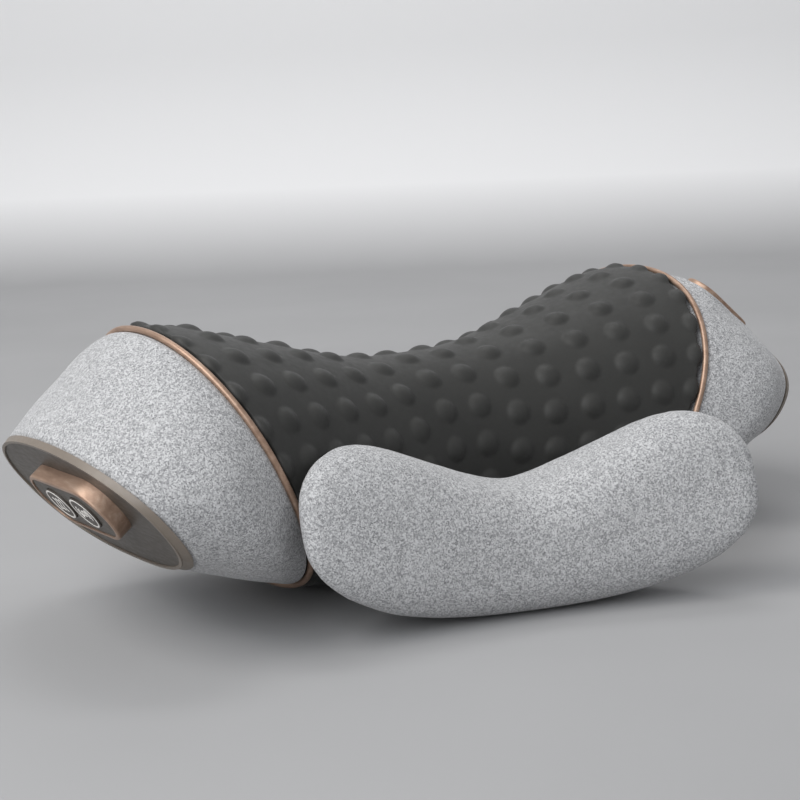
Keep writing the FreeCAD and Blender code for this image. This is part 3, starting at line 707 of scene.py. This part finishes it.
class Look:
    """A principled material whose colour, roughness and relief come from noise."""

    def __init__(self, name):
        self.material = bpy.data.materials.new(name)
        self.material.use_nodes = True
        self.tree = self.material.node_tree
        self.shader = self.tree.nodes["Principled BSDF"]
        self.place = self.node("ShaderNodeTexCoord").outputs["Object"]

    def node(self, kind, **values):
        made = self.tree.nodes.new(kind)
        for key, value in values.items():
            setattr(made, key, value)
        return made

    def link(self, start, end):
        self.tree.links.new(start, end)

    def set(self, **values):
        for key, value in values.items():
            self.shader.inputs[key.replace("_", " ")].default_value = value
        return self

    def noise(self, scale, detail=3.0, roughness=0.55, stretch=(1, 1, 1), distortion=0.0):
        place = self.place
        if tuple(stretch) != (1, 1, 1):
            mapping = self.node("ShaderNodeMapping")
            mapping.inputs["Scale"].default_value = stretch
            self.link(place, mapping.inputs["Vector"])
            place = mapping.outputs["Vector"]
        made = self.node("ShaderNodeTexNoise")
        made.inputs["Scale"].default_value = scale
        made.inputs["Detail"].default_value = detail
        made.inputs["Roughness"].default_value = roughness
        made.inputs["Distortion"].default_value = distortion
        self.link(place, made.inputs["Vector"])
        return made.outputs["Fac"]

    def cells(self, scale, feature="F1", output="Distance"):
        made = self.node("ShaderNodeTexVoronoi", feature=feature)
        made.inputs["Scale"].default_value = scale
        self.link(self.place, made.inputs["Vector"])
        return made.outputs[output]

    def ramp(self, factor, stops):
        made = self.node("ShaderNodeValToRGB")
        line = made.color_ramp
        while len(line.elements) < len(stops):
            line.elements.new(0.5)
        for element, (place, colour) in zip(line.elements, stops):
            element.position = place
            element.color = (*colour, 1.0)
        self.link(factor, made.inputs["Fac"])
        return made.outputs["Color"]

    def spread(self, factor, low, high):
        """A noise's usual range, 0.3 to 0.7, stretched to run from low to high."""
        made = self.node("ShaderNodeMapRange")
        made.inputs["From Min"].default_value = 0.3
        made.inputs["From Max"].default_value = 0.7
        made.inputs["To Min"].default_value = low
        made.inputs["To Max"].default_value = high
        self.link(factor, made.inputs["Value"])
        return made.outputs["Result"]

    def maths(self, operation, first, second):
        made = self.node("ShaderNodeMath", operation=operation)
        for socket, value in zip(made.inputs, (first, second)):
            if isinstance(value, (int, float)):
                socket.default_value = value
            else:
                self.link(value, socket)
        return made.outputs["Value"]

    def mix(self, factor, first, colour):
        """Part of the way, by the factor, from the first colour to a plain one."""
        made = self.node("ShaderNodeMix", data_type="RGBA")
        factor_socket, first_socket, second_socket = made.inputs[0], made.inputs[6], made.inputs[7]
        self.link(factor, factor_socket)
        self.link(first, first_socket)
        second_socket.default_value = (*colour, 1.0)
        return made.outputs[2]

    def bump(self, height, strength, distance):
        made = self.node("ShaderNodeBump")
        made.inputs["Strength"].default_value = strength
        made.inputs["Distance"].default_value = distance
        self.link(height, made.inputs["Height"])
        if self.shader.inputs["Normal"].is_linked:
            self.link(self.shader.inputs["Normal"].links[0].from_socket, made.inputs["Normal"])
        self.link(made.outputs["Normal"], self.shader.inputs["Normal"])

    def colour(self, output):
        self.link(output, self.shader.inputs["Base Color"])

    def roughness(self, output):
        self.link(output, self.shader.inputs["Roughness"])


def scaled(colour, amount):
    return tuple(min(1.0, c * amount) for c in colour)


def plain_look(name, colour, roughness, metallic=0.0, variation=0.12, grain=900.0, relief=0.05,
               stretch=(1, 1, 1), **more):
    """A moulded, turned or painted finish: slight mottling, uneven gloss and fine grain."""
    look = Look(name)
    slow = look.noise(60.0, 4.0)
    darker, paler = scaled(colour, 1 - variation), scaled(colour, 1 + variation)
    look.colour(look.ramp(slow, [(0.3, darker), (0.7, paler)]))
    fine = look.noise(grain, 2.0, stretch=stretch)
    gloss = look.noise(grain / 3, 3.0, stretch=stretch)
    look.roughness(look.spread(gloss, roughness - 0.06, roughness + 0.06))
    look.bump(fine, relief, 0.2 * MM)
    return look.set(Metallic=metallic, **more).material


def silicone_look():
    """Matte dark silicone with a little dust."""
    look = Look("silicone")
    slow = look.noise(35.0, 5.0)
    fine = look.noise(1400.0, 2.0)
    base = look.ramp(slow, [(0.30, (0.023, 0.023, 0.0213)), (0.70, (0.031, 0.031, 0.0288))])
    dust = look.spread(look.noise(2600.0, 1.0), 0.0, 0.30)
    look.colour(look.mix(dust, base, (0.055, 0.055, 0.052)))
    look.roughness(look.spread(look.noise(260.0, 4.0), 0.50, 0.62))
    look.bump(fine, 0.10, 0.12 * MM)
    return look.set(Specular_IOR_Level=0.36, Sheen_Weight=0.03, Sheen_Roughness=0.6).material


def fabric_look():
    """Heathered grey: pale and dark fibres in a felted knit."""
    look = Look("melange_fabric")
    cells = look.cells(1500.0, output="Color")
    speck = look.node("ShaderNodeRGBToBW")
    look.link(cells, speck.inputs["Color"])
    fibre = look.noise(1300.0, 3.0, 0.65, (1.0, 0.5, 1.0), 0.6)
    cross = look.noise(1300.0, 3.0, 0.65, (0.5, 1.0, 0.6), 0.6)
    cloud = look.noise(150.0, 4.0)
    blend = look.maths("MULTIPLY", speck.outputs["Val"], 0.42)
    blend = look.maths("ADD", blend, look.maths("MULTIPLY", fibre, 0.40))
    blend = look.maths("ADD", blend, look.maths("MULTIPLY", cross, 0.30))
    blend = look.maths("ADD", blend, look.maths("MULTIPLY", cloud, 0.10))
    look.colour(look.ramp(blend, [
        (0.36, (0.16, 0.161, 0.167)),
        (0.49, (0.275, 0.277, 0.284)),
        (0.60, (0.39, 0.392, 0.40)),
        (0.74, (0.585, 0.587, 0.595)),
    ]))
    look.bump(fibre, 0.55, 0.35 * MM)
    look.bump(look.cells(1250.0, "SMOOTH_F1"), 0.35, 0.35 * MM)
    return look.set(Roughness=0.92, Specular_IOR_Level=0.18, Sheen_Weight=0.25, Sheen_Roughness=0.5).material


def copper_look():
    """Satin rose copper with faint streaks."""
    look = Look("copper_trim")
    streak = look.noise(260.0, 4.0, 0.6, (1.0, 0.18, 1.0), 0.4)
    slow = look.noise(40.0, 3.0)
    base = look.ramp(streak, [
        (0.30, (0.30, 0.19, 0.135)),
        (0.55, (0.44, 0.30, 0.22)),
        (0.75, (0.56, 0.42, 0.33)),
    ])
    look.colour(look.mix(look.spread(slow, 0.0, 0.25), base, (0.36, 0.235, 0.17)))
    look.roughness(look.spread(streak, 0.34, 0.48))
    look.bump(streak, 0.12, 0.15 * MM)
    return look.set(Metallic=0.55, Specular_IOR_Level=0.5).material


def board_look():
    """Green board with paler tracks."""
    look = Look("circuit_board")
    tracks = look.cells(420.0, "DISTANCE_TO_EDGE")
    look.colour(look.ramp(tracks, [(0.02, (0.06, 0.26, 0.12)), (0.08, (0.012, 0.11, 0.05))]))
    look.bump(tracks, 0.2, 0.1 * MM)
    return look.set(Roughness=0.35).material


def foam_look():
    """Yellowish open-cell foam."""
    look = Look("foam")
    pores = look.cells(900.0)
    look.colour(look.ramp(pores, [(0.1, (0.62, 0.58, 0.46)), (0.5, (0.86, 0.83, 0.74))]))
    look.bump(pores, 0.6, 0.4 * MM)
    return look.set(Roughness=0.95).material


def film_look():
    """Dark film with printed copper tracks."""
    look = Look("heater_film")
    wave = look.node("ShaderNodeTexWave", wave_profile="SIN")
    wave.inputs["Scale"].default_value = 30.0
    wave.inputs["Distortion"].default_value = 0.0
    look.link(look.place, wave.inputs["Vector"])
    look.colour(look.ramp(wave.outputs["Fac"], [(0.45, (0.05, 0.04, 0.035)), (0.55, (0.42, 0.22, 0.12))]))
    look.bump(wave.outputs["Fac"], 0.2, 0.1 * MM)
    return look.set(Roughness=0.45).material


LOOKS = {
    "foam": foam_look,
    "silicone": silicone_look,
    "heater_film": film_look,
    "copper_trim": copper_look,
    "melange_fabric": fabric_look,
    "circuit_board": board_look,
}
DRAWN = (1, 0.1, 1)           # grain of drawn or turned metal
PLAIN_LOOKS = {
    "grip_sheet": dict(colour=(0.055, 0.055, 0.055), roughness=0.62, grain=1500.0, relief=0.15),
    "taupe_plastic": dict(colour=(0.074, 0.063, 0.052), roughness=0.45, variation=0.08,
                          grain=1600.0, relief=0.08, stretch=(1, 0.3, 1)),
    "rim_plastic": dict(colour=(0.20, 0.168, 0.138), roughness=0.42, variation=0.08, grain=1600.0),
    "black_plastic": dict(colour=(0.022, 0.022, 0.023), roughness=0.45, grain=1400.0, relief=0.10),
    "steel": dict(colour=(0.55, 0.55, 0.56), roughness=0.32, metallic=1.0, variation=0.06,
                  grain=1200.0, relief=0.06, stretch=DRAWN),
    "brass": dict(colour=(0.62, 0.45, 0.20), roughness=0.30, metallic=1.0, variation=0.08,
                  grain=1200.0, relief=0.06, stretch=DRAWN),
    "cell_wrap": dict(colour=(0.06, 0.16, 0.34), roughness=0.30, grain=700.0),
    "lens": dict(colour=(0.80, 0.82, 0.80), roughness=0.25, variation=0.04, Transmission_Weight=0.3),
    "lead_jacket": dict(colour=(0.03, 0.03, 0.03), roughness=0.5, grain=1500.0),
    "icon_print": dict(colour=(0.90, 0.87, 0.83), roughness=0.5, variation=0.05, grain=1500.0),
}
MADE_LOOKS = {}


def look_for(slot):
    if slot not in MADE_LOOKS:
        MADE_LOOKS[slot] = LOOKS[slot]() if slot in LOOKS else plain_look(slot, **PLAIN_LOOKS[slot])
    return MADE_LOOKS[slot]


def dress(piece, slot):
    piece.data.materials.clear()
    piece.data.materials.append(look_for(slot))
    piece.data.polygons.foreach_set("material_index", [0] * len(piece.data.polygons))


def dress_cad_nodes():
    for subpart in frame["record"]["subparts"]:
        dress(NODES[subpart["node"]], subpart["material_slot"])


# ---------------------------------------------------------------- floor, light and camera

def level_axes():
    """Level vectors to the right of the camera and straight ahead of it."""
    azimuth = math.radians(CAMERA_AZIMUTH)
    right = Vector((math.cos(azimuth), -math.sin(azimuth), 0))
    ahead = Vector((math.sin(azimuth), math.cos(azimuth), 0))
    return right, ahead


def camera_axes():
    """The camera's right, up and back."""
    right, ahead = level_axes()
    elevation, roll = math.radians(CAMERA_ELEVATION), math.radians(CAMERA_ROLL)
    up = ahead * math.sin(elevation) + UP * math.cos(elevation)
    back = UP * math.sin(elevation) - ahead * math.cos(elevation)
    rolled_right = right * math.cos(roll) - up * math.sin(roll)
    rolled_up = right * math.sin(roll) + up * math.cos(roll)
    return rolled_right, rolled_up, back


def add_camera():
    right, up, back = camera_axes()
    data = bpy.data.cameras.new("camera")
    data.sensor_width = 36.0
    data.lens = CAMERA_LENS
    data.clip_start = 0.01
    data.clip_end = 50.0
    camera = add_object("camera", data)
    place = right * CAMERA_OFFSET[0] + up * CAMERA_OFFSET[1] + back * CAMERA_OFFSET[2]
    turn = Matrix((right, up, back)).transposed().to_4x4()
    camera.matrix_world = Matrix.Translation(place) @ turn
    bpy.context.scene.camera = camera


def floor_look():
    """Pale grey on the floor, near white on the wall."""
    look = Look("floor")
    floor = look.ramp(look.noise(3.0, 3.0), [(0.3, (0.37, 0.37, 0.375)), (0.7, (0.395, 0.395, 0.40))])
    height = look.node("ShaderNodeSeparateXYZ")
    look.link(look.place, height.inputs["Vector"])
    share = look.node("ShaderNodeMapRange")
    share.inputs["From Max"].default_value = SWEEP_FADE_HEIGHT
    look.link(height.outputs["Z"], share.inputs["Value"])
    look.colour(look.mix(share.outputs["Result"], floor, (0.86, 0.86, 0.865)))
    look.bump(look.noise(220.0, 4.0), 0.05, 1.0 * MM)
    return look.set(Roughness=0.85, Specular_IOR_Level=0.2).material


def add_floor():
    """A sweep: a floor that curves up into a wall behind the object."""
    side, ahead = level_axes()
    bend = [(SWEEP_BEND + SWEEP_RADIUS * math.sin(t), SWEEP_RADIUS * (1 - math.cos(t)))
            for t in np.radians(range(6, 91, 6))]
    profile = [(SWEEP_START, 0.0), (0.0, 0.0), (SWEEP_BEND, 0.0)] + bend
    profile.append((SWEEP_BEND + SWEEP_RADIUS, SWEEP_HEIGHT))
    vertices = []
    for distance, height in profile:
        for across in (-SWEEP_HALF_WIDTH, SWEEP_HALF_WIDTH):
            vertices.append(ahead * distance + side * across + UP * height)
    faces = [(2 * i, 2 * i + 1, 2 * i + 3, 2 * i + 2) for i in range(len(profile) - 1)]
    floor = new_object("floor", vertices, faces)
    floor.data.materials.append(floor_look())


def add_area_light(name, place, size, power, colour, target=(0, 0, 0.06)):
    data = bpy.data.lights.new(name, "AREA")
    data.shape = "DISK"
    data.size = size
    data.energy = power
    data.color = colour
    lamp = add_object(name, data)
    lamp.visible_camera = False
    lamp.location = place
    lamp.rotation_euler = (Vector(target) - Vector(place)).to_track_quat("-Z", "Y").to_euler()


def add_lights():
    """A warm key from the upper left, a cooler fill from the front, and light for the wall."""
    right, _, back = camera_axes()
    ahead = level_axes()[1]
    key_place = -1.0 * right + 0.55 * back + 1.3 * UP
    fill_place = -0.7 * right + 1.5 * back + 0.75 * UP
    wall_place = ahead * 0.9 + UP * 2.2
    wall_target = ahead * 2.1 + UP * 0.5
    add_area_light("key", key_place, 1.1, 14.0, (1.0, 0.985, 0.965))
    add_area_light("fill", fill_place, 1.4, 16.0, (0.96, 0.98, 1.0))
    add_area_light("wall", wall_place, 1.2, 15.0, (1.0, 1.0, 1.0), wall_target)
    world = bpy.data.worlds.new("world")
    world.use_nodes = True
    background = world.node_tree.nodes["Background"]
    background.inputs["Color"].default_value = (0.93, 0.94, 0.96, 1.0)
    background.inputs["Strength"].default_value = 0.50
    bpy.context.scene.world = world
    bpy.context.scene.view_settings.view_transform = "Standard"


# ---------------------------------------------------------------- the whole scene

def main():
    dress_cad_nodes()
    dress(make_cover(), "silicone")
    for side in SIDES:
        dress(make_fabric_end(side), "melange_fabric")
        dress(make_piping(side), "copper_trim")
    dress(make_pad(), "melange_fabric")
    for piece in make_grip_sheet():
        dress(piece, "grip_sheet")
    for use, strokes in (("heat", heat_strokes()), ("massage", massage_strokes())):
        dress(make_icon(use + "_icon", use + "_button", use + "_button_press", strokes), "icon_print")
    add_floor()
    add_lights()
    add_camera()


main()
